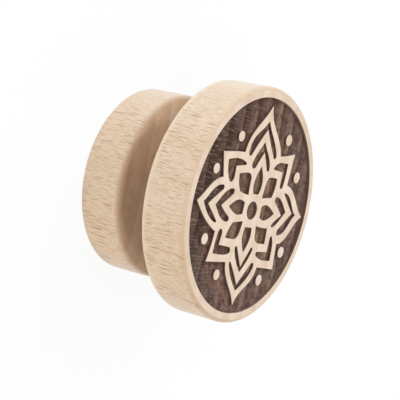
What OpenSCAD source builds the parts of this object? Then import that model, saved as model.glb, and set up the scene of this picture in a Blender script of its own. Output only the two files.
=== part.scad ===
// Wooden cookie stamp: an engraved head and a smaller grip on a short spindle.
// It stands on the flat back of the grip, with the engraved face up.

/* [Head] */
// Diameter of the stamp head
head_d = 60; // [54:0.5:80]
// Thickness of the stamp head
head_t = 12.05; // [10.5:0.05:18]
// Rounding of the rim's front edge
head_front_round = 1.1; // [0.3:0.1:1.5]
// Rounding of the head's back edge
head_back_round = 0.4; // [0.2:0.1:1.5]

/* [Engraving] */
// Width of the plain rim around the engraved field
rim_w = 2.6; // [2:0.1:4]
// Depth of the engraving below the rim
engrave_depth = 0.7; // [0.5:0.1:2]
// Thickness of the burnt layer on the floor of the engraving
burnt_t = 0.3; // [0.2:0.05:0.5]
// Gap from the petal tips to the rim
tip_gap = 1.7; // [1.2:0.05:4]
// Diameter of the raised dots
dot_d = 2.9; // [2:0.1:3.4]
// Diameter of the sunk eye of the flower
eye_d = 4.7; // [3:0.1:5.4]

/* [Neck] */
// Width of the finger groove between head and grip
groove_w = 11.55; // [10:0.05:20]
// Diameter of the neck in the groove
neck_d = 24; // [20:0.5:32]
// Diameter of the spindle's tenons
tenon_d = 16; // [10:0.5:18]
// Length of each tenon
tenon_l = 6.5; // [4:0.5:7]
// Chamfer on the end of each tenon
tenon_chamfer = 0.6; // [0.3:0.1:1]
// Clearance around a tenon for glue
glue_gap = 0.1; // [0.05:0.05:0.2]
// Spare depth below a tenon for glue
glue_well = 0.5; // [0.3:0.1:1]

/* [Grip] */
// Diameter of the grip
grip_d = 48; // [40:0.1:60]
// Thickness of the grip
grip_t = 12; // [9.5:0.1:18]
// Rounding of the grip's edge towards the groove
grip_front_round = 2; // [0.5:0.1:4]
// Rounding of the grip's edge at the back
grip_back_round = 0.5; // [0.3:0.1:2]

/* [Hidden] */
$fn = 96;
// Overlap of a cut past the face that it opens
cut = 0.5;

// Levels along the axis, from the table up
groove_z = grip_t;
head_z = groove_z + groove_w;
face_z = head_z + head_t;
floor_z = face_z - engrave_depth;
bed_z = floor_z - burnt_t;

field_r = head_d / 2 - rim_w;
socket_d = tenon_d + 2 * glue_gap;
socket_l = tenon_l + glue_well;

beech = "#E2C9A9";
burnt = "#5B4139";

// The rosette is drawn by hand, in millimetres from the middle of the field, and then fitted
// to it. A path is a ring of corners in clockwise order. Each corner comes with how far its edge
// to the next one bows out, at one third and at two thirds of its length.
curve_steps = 8;

// Edge of the flower, from the tip of the top petal
flower_edge = [
    [[-0.5, 25.4], [-2.5, 1.8]],
    [[8.2, 13.5], [-0.2, -0.3]],
    [[15.3, 14.9], [0, 0]],
    [[14.6, 6.6], [2.5, -0.7]],
    [[25.6, -1], [-1.2, 3]],
    [[15.5, -8.9], [0, 0]],
    [[16.3, -15.6], [0, 0]],
    [[8.1, -15.3], [2.7, -1.9]],
    [[0, -25.3], [-1.1, 2]],
    [[-7.5, -14.5], [0, 0]],
    [[-16.5, -14.7], [-0.4, -0.3]],
    [[-15.2, -7.2], [1.1, 0.8]],
    [[-25.7, -0.4], [0, 2]],
    [[-16.5, 6], [0, 0]],
    [[-18.7, 12], [0, 0.2]],
    [[-9.1, 12.8], [2.8, -0.5]]
];

// Sunk leaves round the eye, from the top one
leaves = [
    [[[0, 10.2], [1.4, 2.1]], [[1.3, 3.1], [0.1, 0.1]], [[-1.3, 3.1], [2.1, 0.9]]],
    [[[11, -1.2], [0.9, 2.1]], [[4.1, -2.6], [0, 0]], [[4.1, 0.2], [2, 0.8]]],
    [[[-0.2, -11.8], [1, 1.8]], [[-1.7, -5.4], [0, 0]], [[1.5, -5.4], [1.5, 0.9]]],
    [[[-11.3, -0.8], [1.2, 1.8]], [[-4.3, 0.7], [0, 0]], [[-4.4, -2.2], [1.5, 0.9]]]
];

// Sunk squares between the leaves, each from its corner at the eye
squares = [
    [[[3.3, 2.2], [0.1, 0.2]], [[4.1, 6.7], [0.4, 0.4]], [[5.5, 7.8], [0.1, 0.1]],
     [[8.9, 7.8], [0.5, 0.6]], [[8, 2.8], [0.1, -0.1]]],
    [[[3.3, -4.8], [-0.2, -0.2]], [[9.1, -5.1], [0.1, 0.1]], [[9.4, -9.2], [0.1, 0.1]],
     [[5.6, -9.1], [0.3, 0.3]], [[3.8, -7.7], [0, 0]]],
    [[[-3.4, -4], [0.1, 0.1]], [[-4.1, -7.4], [0.4, 0.4]], [[-6, -8.7], [0.1, 0.1]],
     [[-10.1, -8.5], [0.4, 0.3]], [[-8, -4.6], [0, 0]]],
    [[[-3.4, 2.6], [0.1, 0.1]], [[-7.7, 3.2], [0.6, 0.5]], [[-9.6, 7.5], [0.1, 0.1]],
     [[-5.3, 8.1], [0.4, 0.4]], [[-3.6, 6.9], [-0.1, -0.1]]]
];

// Sunk V shapes within the petals: the outer and the inner point of the V, then its two legs,
// the clockwise one first. A leg has its end, its width there, the two bows of its outer edge,
// from the tip on, and the bow of its inner edge.
vees = [
    // Top petal
    [[-0.7, 21.6], [-0.6, 19.4],
     [[5.5, 13.1], 1.4, [-0.4, 0.9], 0.2], [[-6.6, 12.9], 1.8, [-0.3, 2.6], -0.2]],
    [[-0.7, 16.3], [0, 13.7],
     [[3.4, 9.7], 1.4, [-0.2, 1.2], 0], [[-3.8, 10.1], 2.2, [0.2, 0.5], 0]],
    // Upper right petal
    [[12.9, 12.1], [10.9, 9.7],
     [[11.7, 6], 1.6, [0.2, 0.3], 0], [[6.5, 10.3], 0.8, [0.2, 1.5], 0]],
    // Right petal
    [[22.1, -0.8], [20.1, -0.5],
     [[15, -5.9], 1.8, [-0.4, 1.9], 0], [[14.4, 4.4], 0.5, [-0.6, 2.1], 0]],
    [[16.8, -0.4], [14.7, -1.4],
     [[11.2, -4.3], 1.1, [0, 0.8], 0.1], [[10.8, 2.5], 1.8, [0.3, 1.1], -0.2]],
    // Lower right petal
    [[13.9, -13.4], [11.4, -11.2],
     [[6.5, -11.9], 1.2, [0.5, 0.8], 0], [[12.1, -7.4], 1.2, [0.3, 1], 0]],
    // Bottom petal
    [[0, -21.6], [0, -20.1],
     [[-5.4, -14.6], 0.8, [0.5, 1], 0.2], [[5.6, -14.9], 1.7, [0.5, 1.1], 0.2]],
    [[0, -16.9], [0, -15.5],
     [[-4, -10.8], 1.2, [0.3, 0.9], 0], [[3.6, -10.8], 1.2, [0.3, 0.6], 0]],
    // Lower left petal
    [[-14.2, -12.7], [-12.2, -10.4],
     [[-12.7, -7.2], 1.9, [0.3, 0.3], 0], [[-7.1, -11.6], 1.7, [0, 0.6], 0]],
    // Left petal
    [[-22.9, -0.4], [-20.7, -0.8],
     [[-15.7, 3.6], 1.4, [0.2, 1.8], -0.1], [[-15.9, -4.9], 0.7, [0.8, 1.2], 0]],
    [[-17.5, -0.8], [-14.8, -0.8],
     [[-10.8, 3], 1.6, [0.3, 1.5], 0], [[-10.8, -4], 1.5, [0.6, 1.5], -0.2]],
    // Upper left petal
    [[-15.8, 10.4], [-11.7, 9.1],
     [[-7.6, 10.1], 0.7, [0.6, 1.1], 0], [[-12.8, 6.1], 2.5, [0.5, 0.5], 0]]
];

// Bow of a leg's rounded end, as a share of its width
round_end = 0.55;

// The eye, and the dots with how much each is smaller than the largest
eye_at = [-0.2, -1.1];
dots = [
    [[10.7, 18], 0], [[18.8, 9], 0], [[18.8, -10.9], 0], [[10.5, -18.6], 0.1],
    [[-10.3, -17.8], 0.3], [[-19, -9.3], 0.2], [[-20.3, 7.7], 0.4], [[-12.2, 16.4], 0.3]
];

// The drawing is scaled so that its longest petal ends at the gap to the rim
fit = (field_r - tip_gap) / max([for (corner = flower_edge) norm(corner[0])]);

function cubic(a, b, c, d) = [
    for (i = [1:curve_steps])
        let (t = i / curve_steps, s = 1 - t)
            s * s * s * a + 3 * s * s * t * b + 3 * s * t * t * c + t * t * t * d
];

function left_of(v) = [-v.y, v.x] / norm(v);

// An edge from a to b without a itself, bowed out to its left
function edge(a, b, bow) =
    let (third = (b - a) / 3, out = left_of(b - a))
        bow == [0, 0] ? [b] : cubic(a, a + third + bow[0] * out, b - third + bow[1] * out, b);

function outline(path) = [
    for (i = [0:len(path) - 1])
        each fit * edge(path[i][0], path[(i + 1) % len(path)][0], path[i][1])
];

// The path round a V, whose legs end in rounded corners
function vee_path(vee) =
    let (
        tip = vee[0],
        notch = vee[1],
        first = vee[2],
        last = vee[3],
        first_half = first[1] / 2 * left_of(first[0] - (tip + notch) / 2),
        last_half = last[1] / 2 * left_of(last[0] - (tip + notch) / 2)
    ) [
        [tip, first[2]],
        [first[0] + first_half, first[1] * round_end * [1, 1]],
        [first[0] - first_half, first[3] * [1, 1]],
        [notch, last[3] * [1, 1]],
        [last[0] + last_half, last[1] * round_end * [1, 1]],
        [last[0] - last_half, [last[2][1], last[2][0]]]
    ];

module flower() {
    difference() {
        polygon(outline(flower_edge));
        translate(fit * eye_at) circle(d = eye_d);
        for (leaf = leaves) polygon(outline(leaf));
        for (square = squares) polygon(outline(square));
        for (vee = vees) polygon(outline(vee_path(vee)));
    }
}

module dot_field() {
    for (dot = dots)
        translate(fit * dot[0]) circle(d = dot_d - dot[1]);
}

// The sunk ground of the field, with the flower and the dots left standing
module ground() {
    difference() {
        circle(r = field_r);
        flower();
        dot_field();
    }
}

// A turned disc from z = 0 up, with its lower and upper edges rounded
module turned_disc(d, t, low_round, high_round) {
    rotate_extrude()
        difference() {
            square([d / 2, t]);
            translate([d / 2 - low_round, low_round]) mirror([0, 1]) edge_waste(low_round);
            translate([d / 2 - high_round, t - high_round]) edge_waste(high_round);
        }
}

// What a round edge leaves off a square corner
module edge_waste(r) {
    difference() {
        square(r + cut);
        circle(r = r);
    }
}

module tenon() {
    cylinder(d = tenon_d, h = tenon_l - tenon_chamfer);
    translate([0, 0, tenon_l - tenon_chamfer])
        cylinder(d1 = tenon_d, d2 = tenon_d - 2 * tenon_chamfer, h = tenon_chamfer);
}

module stamp_head() {
    color(beech)
        difference() {
            translate([0, 0, head_z]) turned_disc(head_d, head_t, head_back_round, head_front_round);
            translate([0, 0, bed_z]) linear_extrude(face_z + cut - bed_z) ground();
            translate([0, 0, head_z - cut]) cylinder(d = socket_d, h = socket_l + cut);
        }
}

module engraved_ground() {
    color(burnt)
        translate([0, 0, bed_z]) linear_extrude(burnt_t) ground();
}

module neck_spindle() {
    color(beech) {
        translate([0, 0, groove_z]) cylinder(d = neck_d, h = groove_w);
        translate([0, 0, head_z]) tenon();
        translate([0, 0, groove_z]) mirror([0, 0, 1]) tenon();
    }
}

module grip() {
    color(beech)
        difference() {
            turned_disc(grip_d, grip_t, grip_back_round, grip_front_round);
            translate([0, 0, groove_z - socket_l]) cylinder(d = socket_d, h = socket_l + cut);
        }
}

stamp_head();
engraved_ground();
neck_spindle();
grip();
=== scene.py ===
import math
from typing import NamedTuple

import bpy
from mathutils import Matrix, Vector


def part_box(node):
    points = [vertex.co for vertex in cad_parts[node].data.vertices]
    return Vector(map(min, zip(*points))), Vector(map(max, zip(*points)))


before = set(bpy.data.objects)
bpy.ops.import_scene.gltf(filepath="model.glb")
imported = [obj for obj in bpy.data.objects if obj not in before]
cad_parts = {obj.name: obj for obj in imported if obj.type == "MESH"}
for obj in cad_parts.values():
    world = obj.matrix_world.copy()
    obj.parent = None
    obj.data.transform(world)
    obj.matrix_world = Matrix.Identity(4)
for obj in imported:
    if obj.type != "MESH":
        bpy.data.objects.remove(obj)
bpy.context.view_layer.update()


def rgb(red, green, blue):
    """A colour written in screen values from 0 to 255, as a linear colour."""
    def linear(value):
        share = value / 255
        return share / 12.92 if share <= 0.04045 else ((share + 0.055) / 1.055) ** 2.4
    return (linear(red), linear(green), linear(blue), 1.0)


class Texture(NamedTuple):
    """A noise: the size of its cells in millimetres, the number of its finer layers and their strength."""
    cell: tuple
    detail: float = 2.0
    roughness: float = 0.5


class Rays(NamedTuple):
    """Wood rays: the size of the cell that holds each one, and the least and greatest share it fills."""
    cell: tuple
    small: float
    large: float


class Stain(NamedTuple):
    """A colour that comes in while some value goes from one level to another, up to a strength."""
    start: float
    end: float
    strength: float
    colour: tuple


class Coat(NamedTuple):
    """A colour laid over a mask with some strength."""
    strength: float
    colour: tuple


class Finish(NamedTuple):
    """How a surface takes light: roughness, the depth of its texture in millimetres, sheen and gloss."""
    roughness: float
    depth: float
    sheen: float
    gloss: float


class Lamp(NamedTuple):
    """A round soft lamp: where it stands, its distance and size in millimetres, power and colour."""
    azimuth: float
    elevation: float
    distance: float
    size: float
    power: float
    colour: tuple


MM = 0.001

# Sizes read from the frame, in millimetres
HEAD_LOW, HEAD_HIGH = (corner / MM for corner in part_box("stamp_head"))
_, GROUND_HIGH = (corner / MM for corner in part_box("engraved_ground"))
HEAD_R = HEAD_HIGH.x
FACE_Z = HEAD_HIGH.z
FIELD_R = GROUND_HIGH.x
GRIP_R, _, GROOVE_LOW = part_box("grip")[1] / MM
GROOVE_HIGH = HEAD_LOW.z

# Camera: where it stands round the object, how it is rolled and what it aims at
CAMERA_AZIMUTH = -93.03
CAMERA_ELEVATION = 32.75
CAMERA_ROLL = -103.73
CAMERA_DISTANCE = 325.3
CAMERA_AIM = Vector((-7.25, -1.23, 24.45))
CAMERA_LENS = 117.56
CAMERA_CLIP = 10.0
SENSOR_WIDTH = 36.0

# Studio: a white floor and sky, and two lamps
WHITE = (1.0, 1.0, 1.0, 1.0)
PAPER = (0.88, 0.88, 0.88, 1.0)
FLOOR_HALF = 3000.0
SKY_AS_LIGHT = 0.76
SKY_AS_SEEN = 1.0
LAMPS = {
    "key": Lamp(172.0, 36.0, 700.0, 380.0, 1.75, (0.86, 1.0, 1.1)),
    "fill": Lamp(-80.0, 60.0, 700.0, 700.0, 1.0, (1.0, 1.0, 1.0)),
}

# Each fade below has the two values it runs between and, if they aren't 0 and 1, the shares it has there.
# The floor's share of plain white, by the distance from the object's foot:
FLOOR_FADE = (30.0, 110.0, 0.9, 1.0)

# Wood: the tree's middle lies far off to one side, so the rings cross the blank as nearly straight bands
PITH = (-260.0, 0.0, 0.0)
RING_WIDTH = 6.0
RING_SHIFT = 0.38
RING_WANDER = 0.25
RING_BEND = Texture((50 / 3, 50 / 3, 50 / 3))
# How far the grain leans to +X and to -Y for each millimetre along the turning axis
GRAIN_LEAN = (0.13, 0.045)
# How much further the rings lean than the grain does
RING_LEAN = 0.044
# The way a side faces where it shows the most ray ends, and how they fade on sides that face elsewhere
RAY_FACING = (0.966, 0.259, 0.0)
RAY_FADE = (0.15, 0.8, 0.2, 1.0)
# A ray's solid core as a share of its reach, and the strength of the weakest ray
RAY_CORE = 0.4
RAY_WEAKEST = 0.3

# Bare wood along the grain
SIDE_PALE = rgb(234, 209, 181)
SIDE_CLOUD = Texture((11.0, 11.0, 26.0))
SIDE_DEEP = Stain(0.35, 0.65, 1.0, rgb(230, 203, 173))
FIBRE = Texture((0.3, 0.3, 4.0), 3.0, 0.6)
FIBRE_LIGHT = Stain(0.5, 0.3, 0.5, rgb(244, 225, 203))
FIBRE_DARK = Stain(0.5, 0.7, 0.6, rgb(206, 170, 132))
FIBRE_HEIGHT = 0.4
SPECKLE = Texture((0.625, 0.625, 0.625), 3.0, 0.7)
SPECKLE_DARK = Stain(0.48, 0.68, 0.24, rgb(206, 170, 132))
SPECKLE_LIGHT = Stain(0.48, 0.3, 0.24, rgb(246, 229, 208))
TICKS = Rays((9.0, 0.29, 5.6), 0.2, 0.5)
TICK_COAT = Coat(0.95, rgb(140, 86, 40))
FAINT_TICKS = Rays((5.0, 0.22, 3.2), 0.15, 0.42)
FAINT_COAT = Coat(0.75, rgb(176, 132, 92))
# Painted light and shade: what the sides' colour is multiplied by towards -Y, painted shade on the head and
# painted light on the grip
HEAD_PAINTED_SHADE = (0.98, 0.94, 0.87, 1.0)
GRIP_PAINTED_LIGHT = (1.05, 1.02, 0.97, 1.0)
HEAD_FADE = (GROOVE_HIGH - 1.0, GROOVE_HIGH)
SIDE_LIGHT_AND_SHADE_FADE = (-2.0, -18.0)

# Bare wood across the grain
FACE_EARLY = rgb(226, 202, 178)
FACE_LATE = rgb(218, 191, 165)
# The groove's end grain is more saturated than the face: partly the wood's own tone, partly painted warm
# bounce light between head and grip
GROOVE_EARLY = rgb(246, 204, 162)
GROOVE_LATE = rgb(228, 182, 140)
RING_POWER = 1.6
FACE_CLOUD = Texture((4.0, 4.0, 4.0))
FACE_DARK = Stain(0.5, 0.7, 0.4, rgb(206, 170, 138))
FACE_LIGHT = Stain(0.5, 0.3, 0.3, rgb(240, 222, 202))
PORES = Texture((0.3125, 0.3125, 0.3125), 2.0, 0.6)
PORE_STAIN = Stain(0.5, 0.75, 0.4, rgb(188, 152, 122))
PORE_HEIGHT = -0.5
FACE_LINES = Rays((22.0, 0.45, 5.0), 0.06, 0.24)
FACE_LINE_COAT = Coat(0.3, rgb(243, 228, 210))
# What the colour is multiplied by on the relief, and towards +Y in the groove, where it is painted light
RELIEF_TINT = (1.045, 1.045, 1.055, 1.0)
RELIEF_FADE = (FIELD_R, FIELD_R - 0.5)
GROOVE_PAINTED_LIGHT = (1.08, 1.08, 1.05, 1.0)
GROOVE_PAINTED_LIGHT_FADE = (-4.0, 14.0)
# A warmer band of wood that crosses the rim twice: the way across it, and its distance from the middle
BAND_ACROSS = (-0.64, 0.77, 0.0)
BAND_OFFSET = 5.0
BAND_STAIN = Stain(16.0, 4.0, 0.3, rgb(206, 170, 138))
RIM_FADE = (FIELD_R - 0.3, FIELD_R)

# Where the groove begins and ends
GROOVE_START_FADE = (GROOVE_LOW - 1.5, GROOVE_LOW - 0.3)
GROOVE_END_FADE = (GROOVE_HIGH + 0.5, GROOVE_HIGH + 0.1)
# Where a rounded edge counts as a flat face, by how far it faces along the axis
FLAT_FADE = (0.95, 0.999)
GROOVE_FLAT_FADE = (0.3, 0.95)
# Painted shade on the turn of an edge outside the groove, by how far it faces along the axis
TURN_START_FADE = (0.08, 0.4)
TURN_END_FADE = (0.999, 0.95)
TURN_DEPTH_FADE = (0.45, 0.93, 0.3, 0.5)
TURN_PAINTED_SHADE = rgb(196, 160, 127)
# A painted highlight along the head's back edge, by radius and by height
HIGHLIGHT_RADIUS_FADE = (HEAD_R - 1.2, HEAD_R - 0.4)
HIGHLIGHT_HEIGHT_FADE = (GROOVE_HIGH + 1.6, GROOVE_HIGH + 0.5)
BACK_EDGE_PAINTED_HIGHLIGHT = Coat(0.55, rgb(246, 224, 196))
# Painted shade on the grip's lip where it turns into the groove, by radius, height and facing; away from
# its middle only the rounding is shaded
LIP_RADIUS_FADE = (GRIP_R - 9.0, GRIP_R - 0.5)
LIP_HEIGHT_FADE = (GROOVE_LOW + 1.0, GROOVE_LOW + 0.5)
LIP_FACING_FADE = (0.1, 0.6)
LIP_SPAN_FADE = (19.0, 9.0)
LIP_ROUNDING_FADE = (GRIP_R - 2.2, GRIP_R - 0.8)
LIP_PAINTED_SHADE = Coat(0.55, rgb(168, 126, 94))

# The engraving's walls: scorched all over, charred towards the floor
FIELD_FADE = (FIELD_R + 0.12, FIELD_R + 0.02)
SCORCH_FADE = (FACE_Z - 0.005, FACE_Z - 0.05)
SCORCH_COLOUR = rgb(124, 91, 71)
CHAR_FADE = (FACE_Z, FACE_Z - 0.5)
CHAR_COLOUR = rgb(76, 54, 44)
CHAR_IN_MIDDLE = Stain(15.0, 9.0, 1.0, rgb(96, 72, 59))
CHAR_AT_RIM = Stain(FIELD_R - 1.0, FIELD_R - 0.2, 1.0, rgb(112, 82, 64))

# The burnt ground's ring bands, with shade towards -X and towards the rim
BURNT_EARLY = rgb(104, 74, 60)
BURNT_LATE = rgb(190, 154, 134)
BURNT_RING_POWER = 1.3
BURNT_SHADE = rgb(96, 80, 74)
SHADE_LEAN = -0.1
SIDE_SHADE_FADE = (-28.0, 14.0, 0.68, 0.0)
OUTER_SHADE_FADE = (12.0, 24.0, 0.0, 0.3)
# It is plainer in the middle, warmer within the flower and ashen towards +X and -Y
BURNT_MIDDLE = Stain(14.0, 3.0, 0.85, rgb(112, 91, 78))
FLOWER_TINT = (1.05, 1.0, 0.91, 1.0)
FLOWER_FADE = (21.0, 16.0)
ASH_COLOUR = rgb(96, 80, 75)
ASH_AT_FOOT = Stain(-12.0, -20.0, 1.0, rgb(122, 102, 96))
ASH_FADE = (6.0, 15.0, 0.0, 0.45)
# Its texture: clouds, grain, dark patches, hairlines that fade to +X, and light ray lines
BURNT_CLOUD = Texture((5.0, 7.0, 5.0))
BURNT_CLOUD_STAIN = Stain(0.45, 0.7, 0.3, rgb(80, 60, 60))
BURNT_GRAIN = Texture((0.4, 0.3, 0.4), 3.0, 0.6)
BURNT_GRAIN_STAIN = Stain(0.45, 0.7, 0.6, rgb(58, 41, 34))
MOTTLE = Texture((1.5, 2.2, 1.5))
MOTTLE_STAIN = Stain(0.46, 0.64, 0.6, rgb(60, 42, 35))
HAIR = Texture((4.5, 0.42, 1.0), 3.0, 0.6)
HAIR_DARK = Stain(0.5, 0.34, 0.5, rgb(58, 40, 33))
HAIR_LIGHT = Stain(0.5, 0.7, 0.5, rgb(150, 124, 110))
HAIR_FADE = (-2.0, -20.0, 0.35, 1.0)
BURNT_LINES = Rays((22.0, 0.45, 5.0), 0.08, 0.3)
BURNT_LINE_COAT = Coat(0.45, rgb(156, 130, 114))
# Scorched streaks: how far their line is from the middle, how they fade off it, between lanes and upwards
STREAK_ACROSS = -19.5
STREAK_SPREAD_FADE = (5.0, 1.0)
STREAK_LANES = Texture((100 / 9, 10 / 9, 1.0))
STREAK_LANE_FADE = (0.42, 0.66)
STREAK_FOOT_FADE = (-7.0, -13.0)
STREAK_COAT = Coat(0.8, rgb(154, 110, 88))

BARE_FINISH = Finish(0.6, 0.03, 0.6, 0.5)
BURNT_FINISH = Finish(0.75, 0.08, 0.0, 0.1)
BUMP_STRENGTH = 0.5
SHEEN_ROUGHNESS = 0.4

# Keeps a vector's parts across the turning axis
ACROSS_AXIS = (1.0, 1.0, 0.0)


class Graph:
    """A material's node tree, with short calls for the nodes that the finishes use."""

    def __init__(self, name):
        self.material = bpy.data.materials.new(name)
        self.material.use_nodes = True
        self.tree = self.material.node_tree
        self.tree.nodes.clear()

    def node(self, kind, inputs=(), **settings):
        made = self.tree.nodes.new(kind)
        for key, value in settings.items():
            setattr(made, key, value)
        for key, value in dict(inputs).items():
            self.feed(made.inputs[key], value)
        return made

    def feed(self, socket, value):
        if isinstance(value, bpy.types.NodeSocket):
            self.tree.links.new(value, socket)
        else:
            socket.default_value = value

    def math(self, operation, a, b=0.0, c=0.0):
        return self.node("ShaderNodeMath", {0: a, 1: b, 2: c}, operation=operation).outputs[0]

    def product(self, first, *factors):
        for factor in factors:
            first = self.math("MULTIPLY", first, factor)
        return first

    def vector(self, operation, a, b):
        """A vector worked out from two others."""
        return self.node("ShaderNodeVectorMath", {0: a, 1: b}, operation=operation).outputs["Vector"]

    def measure(self, operation, a, b=(0.0, 0.0, 0.0)):
        """A number worked out from vectors."""
        return self.node("ShaderNodeVectorMath", {0: a, 1: b}, operation=operation).outputs["Value"]

    def smooth(self, value, low, high, start=0.0, end=1.0):
        inputs = {"Value": value, "From Min": low, "From Max": high, "To Min": start, "To Max": end}
        return self.node("ShaderNodeMapRange", inputs, interpolation_type="SMOOTHSTEP").outputs[0]

    def mix(self, factor, a, b, blend="MIX"):
        made = self.node("ShaderNodeMix", data_type="RGBA", blend_type=blend)
        for key, value in ((0, factor), (6, a), (7, b)):
            self.feed(made.inputs[key], value)
        return made.outputs[2]

    def stain(self, tone, value, stain, mask=1.0):
        share = self.smooth(value, stain.start, stain.end, 0.0, stain.strength)
        return self.mix(self.product(share, mask), tone, stain.colour)

    def coat(self, tone, mask, coat):
        return self.mix(self.product(mask, coat.strength), tone, coat.colour)

    def texture(self, point, texture):
        cells = self.vector("DIVIDE", point, texture.cell)
        inputs = {"Vector": cells, "Scale": 1.0, "Detail": texture.detail, "Roughness": texture.roughness}
        return self.node("ShaderNodeTexNoise", inputs).outputs[0]


class Place:
    """A point on the object in millimetres: as a vector, by its parts and by its distance from the axis."""

    def __init__(self, graph):
        coords = graph.node("ShaderNodeTexCoord").outputs["Object"]
        self.point = graph.vector("MULTIPLY", coords, (1 / MM, 1 / MM, 1 / MM))
        self.x, self.y, self.z = graph.node("ShaderNodeSeparateXYZ", {0: self.point}).outputs
        self.radius = graph.measure("LENGTH", graph.vector("MULTIPLY", self.point, ACROSS_AXIS))


def along_grain(graph, place):
    """The point moved so that the leaning grain runs straight along its third part."""
    lean_x, lean_y = GRAIN_LEAN
    level_x = graph.math("MULTIPLY_ADD", place.z, -lean_x, place.x)
    level_y = graph.math("MULTIPLY_ADD", place.z, lean_y, place.y)
    return graph.node("ShaderNodeCombineXYZ", {0: level_x, 1: level_y, 2: place.z}).outputs[0]


def facing(graph):
    """How far the surface faces along the wood rays and along the axis, from 0 to 1 each."""
    normal = graph.node("ShaderNodeTexCoord").outputs["Normal"]
    radial = graph.measure("DOT_PRODUCT", normal, RAY_FACING)
    axial = graph.measure("DOT_PRODUCT", normal, (0.0, 0.0, 1.0))
    return graph.math("ABSOLUTE", radial), graph.math("ABSOLUTE", axial)


def rings(graph, grain):
    """Growth rings as a saw tooth: rising through each year, with a sharp fall at its end."""
    flat = graph.vector("MULTIPLY", grain, ACROSS_AXIS)
    away = graph.measure("DISTANCE", flat, PITH)
    leaned = graph.measure("DOT_PRODUCT", grain, (0.0, 0.0, RING_LEAN))
    grown = graph.math("SUBTRACT", away, leaned)
    count = graph.math("MULTIPLY_ADD", grown, 1 / RING_WIDTH, RING_SHIFT)
    bend = graph.texture(flat, RING_BEND)
    return graph.math("FRACT", graph.math("MULTIPLY_ADD", bend, RING_WANDER, count))


def rays(graph, point, kind):
    """Wood rays: thin spindles of varied size and strength, one to a cell."""
    cells = graph.vector("DIVIDE", point, kind.cell)
    found = graph.node("ShaderNodeTexVoronoi", {"Vector": cells, "Scale": 1.0, "Randomness": 1.0})
    size, strength, _ = graph.node("ShaderNodeSeparateColor", {0: found.outputs["Color"]}).outputs
    reach = graph.math("MULTIPLY_ADD", size, kind.large - kind.small, kind.small)
    spindle = graph.smooth(found.outputs["Distance"], reach, graph.product(reach, RAY_CORE))
    return graph.product(spindle, graph.math("MULTIPLY_ADD", strength, 1 - RAY_WEAKEST, RAY_WEAKEST))


def side_grain(graph, point, radial):
    """Colour and height along the grain: pale wood with dark ray ends, faint fibres and speckle."""
    fibre = graph.texture(point, FIBRE)
    speckle = graph.texture(point, SPECKLE)
    shown = graph.smooth(radial, *RAY_FADE)
    tick = graph.product(rays(graph, point, TICKS), shown)
    faint = graph.product(rays(graph, point, FAINT_TICKS), shown)
    tone = graph.stain(SIDE_PALE, graph.texture(point, SIDE_CLOUD), SIDE_DEEP)
    tone = graph.stain(tone, fibre, FIBRE_LIGHT)
    tone = graph.stain(tone, fibre, FIBRE_DARK)
    tone = graph.stain(tone, speckle, SPECKLE_DARK)
    tone = graph.stain(tone, speckle, SPECKLE_LIGHT)
    tone = graph.coat(tone, faint, FAINT_COAT)
    tone = graph.coat(tone, tick, TICK_COAT)
    return tone, graph.math("SUBTRACT", graph.product(fibre, FIBRE_HEIGHT), tick)


def end_grain(graph, point, ring, early, late):
    """Colour and height across the grain: ring bands, clouds, fine pores and light ray lines."""
    pore = graph.texture(point, PORES)
    cloud = graph.texture(point, FACE_CLOUD)
    tone = graph.mix(graph.math("POWER", ring, RING_POWER), early, late)
    tone = graph.stain(tone, cloud, FACE_DARK)
    tone = graph.stain(tone, cloud, FACE_LIGHT)
    tone = graph.stain(tone, pore, PORE_STAIN)
    tone = graph.coat(tone, rays(graph, point, FACE_LINES), FACE_LINE_COAT)
    return tone, graph.product(pore, PORE_HEIGHT)


def turned_side(graph, place, grain, radial):
    """Colour and height of the turned sides, with painted shade on the head and painted light on the grip
    towards -Y.
    """
    tone, height = side_grain(graph, grain, radial)
    # Painted shade on the head's side and painted light on the grip's side, towards -Y
    tint = graph.mix(graph.smooth(place.z, *HEAD_FADE), GRIP_PAINTED_LIGHT, HEAD_PAINTED_SHADE)
    return graph.mix(graph.smooth(place.y, *SIDE_LIGHT_AND_SHADE_FADE), tone, tint, "MULTIPLY"), height


def flat_face(graph, place, ring):
    """Colour and height of the flat faces, with a paler relief and a warm band across the rim."""
    tone, height = end_grain(graph, place.point, ring, FACE_EARLY, FACE_LATE)
    tone = graph.mix(graph.smooth(place.radius, *RELIEF_FADE), tone, RELIEF_TINT, "MULTIPLY")
    across = graph.measure("DOT_PRODUCT", place.point, BAND_ACROSS)
    off_band = graph.math("ABSOLUTE", graph.math("SUBTRACT", across, BAND_OFFSET))
    return graph.stain(tone, off_band, BAND_STAIN, graph.smooth(place.radius, *RIM_FADE)), height


def groove_face(graph, place, ring):
    """Colour of the flat faces in the groove: a saturated tone that is partly the wood's own and partly
    painted warm bounce light, with painted light towards +Y.
    """
    tone, _ = end_grain(graph, place.point, ring, GROOVE_EARLY, GROOVE_LATE)
    # Painted light towards +Y in the groove
    return graph.mix(graph.smooth(place.y, *GROOVE_PAINTED_LIGHT_FADE), tone, GROOVE_PAINTED_LIGHT, "MULTIPLY")


def turned_edges(graph, tone, axial, outside):
    """The tone with painted shade where an edge outside the groove turns from side to face."""
    turn = graph.product(graph.smooth(axial, *TURN_START_FADE), graph.smooth(axial, *TURN_END_FADE),
                         outside, graph.smooth(axial, *TURN_DEPTH_FADE))
    return graph.mix(turn, tone, TURN_PAINTED_SHADE)


def painted_edge_highlight(graph, tone, place):
    """The tone with a painted highlight along the head's back edge."""
    highlight = graph.product(graph.smooth(place.radius, *HIGHLIGHT_RADIUS_FADE),
                         graph.smooth(place.z, *HIGHLIGHT_HEIGHT_FADE))
    return graph.coat(tone, highlight, BACK_EDGE_PAINTED_HIGHLIGHT)


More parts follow.
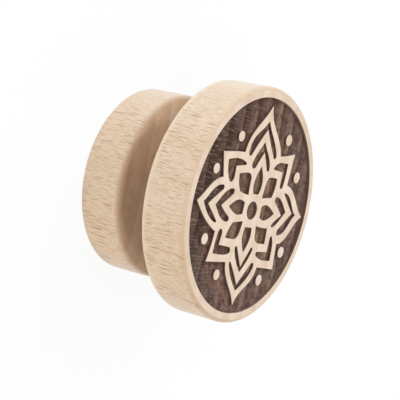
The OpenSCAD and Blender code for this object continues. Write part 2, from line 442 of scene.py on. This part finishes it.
def shaded_lip(graph, tone, place, axial, in_groove):
    """The tone with painted shade on the lip where the grip turns into the groove."""
    span = graph.smooth(graph.math("ABSOLUTE", place.y), *LIP_SPAN_FADE)
    span = graph.math("MAXIMUM", span, graph.smooth(place.radius, *LIP_ROUNDING_FADE))
    lip = graph.product(graph.smooth(place.radius, *LIP_RADIUS_FADE),
                        graph.smooth(place.z, *LIP_HEIGHT_FADE),
                        graph.smooth(axial, *LIP_FACING_FADE), in_groove, span)
    return graph.coat(tone, lip, LIP_PAINTED_SHADE)


def beech_tone(graph, place):
    """Colour and height of turned beech, whose flat faces show the end grain."""
    radial, axial = facing(graph)
    grain = along_grain(graph, place)
    ring = rings(graph, grain)
    in_groove = graph.product(graph.smooth(place.z, *GROOVE_START_FADE),
                              graph.smooth(place.z, *GROOVE_END_FADE))
    outside = graph.math("SUBTRACT", 1.0, in_groove)
    side, side_height = turned_side(graph, place, grain, radial)
    face, face_height = flat_face(graph, place, ring)
    face = graph.mix(in_groove, face, groove_face(graph, place, ring))
    groove_flat = graph.product(graph.smooth(axial, *GROOVE_FLAT_FADE), in_groove)
    flat = graph.math("MAXIMUM", graph.smooth(axial, *FLAT_FADE), groove_flat)
    tone = graph.mix(flat, side, face)
    tone = turned_edges(graph, tone, axial, outside)
    tone = painted_edge_highlight(graph, tone, place)
    tone = shaded_lip(graph, tone, place, axial, in_groove)
    side_height = graph.product(side_height, graph.math("SUBTRACT", 1.0, flat))
    return tone, graph.math("ADD", side_height, graph.product(face_height, flat))


def burnt_bands(graph, place):
    """The burnt ring bands, with the shade, the tint and the ash that lie over them."""
    ring = rings(graph, along_grain(graph, place))
    shaded = graph.math("MULTIPLY_ADD", place.y, SHADE_LEAN, place.x)
    ash = graph.stain(ASH_COLOUR, place.y, ASH_AT_FOOT)
    ashen = graph.math("MAXIMUM", place.x, graph.product(place.y, -1.0))
    tone = graph.mix(graph.math("POWER", ring, BURNT_RING_POWER), BURNT_EARLY, BURNT_LATE)
    tone = graph.mix(graph.smooth(shaded, *SIDE_SHADE_FADE), tone, BURNT_SHADE, "MULTIPLY")
    tone = graph.stain(tone, place.radius, BURNT_MIDDLE)
    tone = graph.mix(graph.smooth(place.radius, *FLOWER_FADE), tone, FLOWER_TINT, "MULTIPLY")
    tone = graph.mix(graph.smooth(place.radius, *OUTER_SHADE_FADE), tone, BURNT_SHADE, "MULTIPLY")
    return graph.mix(graph.smooth(ashen, *ASH_FADE), tone, ash)


def streaks(graph, place):
    """Where scorched streaks run aslant over the ground, from 0 to 1."""
    along = graph.math("SUBTRACT", place.x, place.y)
    across = graph.product(graph.math("ADD", place.x, place.y), math.sqrt(0.5))
    lanes = graph.node("ShaderNodeCombineXYZ", {0: along, 1: across}).outputs[0]
    lane = graph.texture(lanes, STREAK_LANES)
    off_line = graph.math("ABSOLUTE", graph.math("SUBTRACT", across, STREAK_ACROSS))
    return graph.product(graph.smooth(off_line, *STREAK_SPREAD_FADE), graph.smooth(lane, *STREAK_LANE_FADE),
                         graph.smooth(place.y, *STREAK_FOOT_FADE))


def hairlines(graph, tone, place):
    """The tone with fine dark and light lines along X."""
    hair = graph.texture(place.point, HAIR)
    shown = graph.smooth(place.x, *HAIR_FADE)
    tone = graph.stain(tone, hair, HAIR_DARK, shown)
    return graph.stain(tone, hair, HAIR_LIGHT, shown)


def finish_shader(graph, colour, height, finish):
    """A matt shader with the given colour and height, set as the material's surface."""
    relief = {"Strength": BUMP_STRENGTH, "Distance": finish.depth * MM, "Height": height}
    bump = graph.node("ShaderNodeBump", relief)
    shader = graph.node("ShaderNodeBsdfPrincipled", {"Base Color": colour, "Normal": bump.outputs[0]})
    shader.inputs["Roughness"].default_value = finish.roughness
    shader.inputs["Specular IOR Level"].default_value = finish.gloss
    shader.inputs["Sheen Weight"].default_value = finish.sheen
    shader.inputs["Sheen Roughness"].default_value = SHEEN_ROUGHNESS
    out = graph.node("ShaderNodeOutputMaterial")
    graph.tree.links.new(shader.outputs[0], out.inputs["Surface"])
    return graph.material


def beech():
    """Bare turned beech."""
    graph = Graph("beech")
    tone, height = beech_tone(graph, Place(graph))
    return finish_shader(graph, tone, height, BARE_FINISH)


def engraved_beech():
    """Beech whose engraved walls are scorched, and darker towards the floor."""
    graph = Graph("engraved_beech")
    place = Place(graph)
    tone, height = beech_tone(graph, place)
    inside = graph.smooth(place.radius, *FIELD_FADE)
    scorched = graph.product(graph.smooth(place.z, *SCORCH_FADE), inside)
    charred = graph.product(graph.smooth(place.z, *CHAR_FADE), inside)
    char = graph.stain(CHAR_COLOUR, place.radius, CHAR_IN_MIDDLE)
    char = graph.stain(char, place.radius, CHAR_AT_RIM)
    tone = graph.mix(scorched, tone, SCORCH_COLOUR)
    tone = graph.mix(charred, tone, char)
    return finish_shader(graph, tone, height, BARE_FINISH)


def burnt_beech():
    """The burnt end grain on the floor of the engraving."""
    graph = Graph("burnt_beech")
    place = Place(graph)
    grain = graph.texture(place.point, BURNT_GRAIN)
    tone = burnt_bands(graph, place)
    tone = graph.stain(tone, graph.texture(place.point, BURNT_CLOUD), BURNT_CLOUD_STAIN)
    tone = graph.coat(tone, streaks(graph, place), STREAK_COAT)
    tone = graph.stain(tone, grain, BURNT_GRAIN_STAIN)
    tone = graph.stain(tone, graph.texture(place.point, MOTTLE), MOTTLE_STAIN)
    tone = hairlines(graph, tone, place)
    tone = graph.coat(tone, rays(graph, place.point, BURNT_LINES), BURNT_LINE_COAT)
    return finish_shader(graph, tone, grain, BURNT_FINISH)


def set_material(node, material):
    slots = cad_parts[node].data.materials
    slots.clear()
    slots.append(material)


def dress():
    plain = beech()
    set_material("stamp_head", engraved_beech())
    set_material("engraved_ground", burnt_beech())
    set_material("neck_spindle", plain)
    set_material("grip", plain)


def direction(azimuth, elevation):
    """From the object towards a stand at that azimuth and elevation; azimuth 0 is on the -Y side."""
    a, e = math.radians(azimuth), math.radians(elevation)
    return Vector((math.sin(a) * math.cos(e), -math.cos(a) * math.cos(e), math.sin(e)))


def add_camera():
    data = bpy.data.cameras.new("camera")
    data.lens = CAMERA_LENS
    data.sensor_width = SENSOR_WIDTH
    data.clip_start = CAMERA_CLIP * MM
    camera = bpy.data.objects.new("camera", data)
    bpy.context.scene.collection.objects.link(camera)
    back = direction(CAMERA_AZIMUTH, CAMERA_ELEVATION)
    level = (-back).to_track_quat("-Z", "Y").to_matrix()
    turn = level @ Matrix.Rotation(math.radians(-CAMERA_ROLL), 3, "Z")
    camera.matrix_world = Matrix.Translation((CAMERA_AIM + back * CAMERA_DISTANCE) * MM) @ turn.to_4x4()
    bpy.context.scene.camera = camera


def background_rays(graph):
    """1 for rays that show the background: straight to the camera, or by a reflection or through glass."""
    path = graph.node("ShaderNodeLightPath")
    seen = graph.math("MAXIMUM", path.outputs["Is Camera Ray"], path.outputs["Is Glossy Ray"])
    return graph.math("MAXIMUM", seen, path.outputs["Is Transmission Ray"])


def floor_paper():
    """White paper that shows soft shadows near the object only."""
    graph = Graph("floor")
    paper = graph.node("ShaderNodeBsdfDiffuse", {"Color": PAPER})
    white = graph.node("ShaderNodeEmission", {"Color": WHITE, "Strength": 1.0})
    away = graph.measure("LENGTH", Place(graph).point)
    share = graph.product(background_rays(graph), graph.smooth(away, *FLOOR_FADE))
    mixed = graph.node("ShaderNodeMixShader", {0: share, 1: paper.outputs[0], 2: white.outputs[0]})
    graph.node("ShaderNodeOutputMaterial", {0: mixed.outputs[0]})
    return graph.material


def add_floor():
    half = FLOOR_HALF * MM
    corners = [(-half, -half, 0), (half, -half, 0), (half, half, 0), (-half, half, 0)]
    mesh = bpy.data.meshes.new("floor")
    mesh.from_pydata(corners, [], [(0, 1, 2, 3)])
    floor = bpy.data.objects.new("floor", mesh)
    bpy.context.scene.collection.objects.link(floor)
    mesh.materials.append(floor_paper())


def add_world():
    world = bpy.data.worlds.new("studio")
    world.use_nodes = True
    bpy.context.scene.world = world
    tree = world.node_tree
    path = tree.nodes.new("ShaderNodeLightPath")
    sky = tree.nodes["Background"]
    sky.inputs["Color"].default_value = WHITE
    strength = tree.nodes.new("ShaderNodeMapRange")
    strength.inputs["To Min"].default_value = SKY_AS_LIGHT
    strength.inputs["To Max"].default_value = SKY_AS_SEEN
    tree.links.new(path.outputs["Is Camera Ray"], strength.inputs["Value"])
    tree.links.new(strength.outputs[0], sky.inputs["Strength"])


def add_lamp(name, kind):
    data = bpy.data.lights.new(name, "AREA")
    data.shape = "DISK"
    data.size = kind.size * MM
    data.energy = kind.power
    data.color = kind.colour
    lamp = bpy.data.objects.new(name, data)
    bpy.context.scene.collection.objects.link(lamp)
    towards = direction(kind.azimuth, kind.elevation)
    lamp.location = towards * kind.distance * MM
    lamp.rotation_euler = (-towards).to_track_quat("-Z", "Y").to_euler()


dress()
add_camera()
add_floor()
add_world()
for lamp_name, lamp_kind in LAMPS.items():
    add_lamp(lamp_name, lamp_kind)
bpy.context.scene.view_settings.view_transform = "Standard"
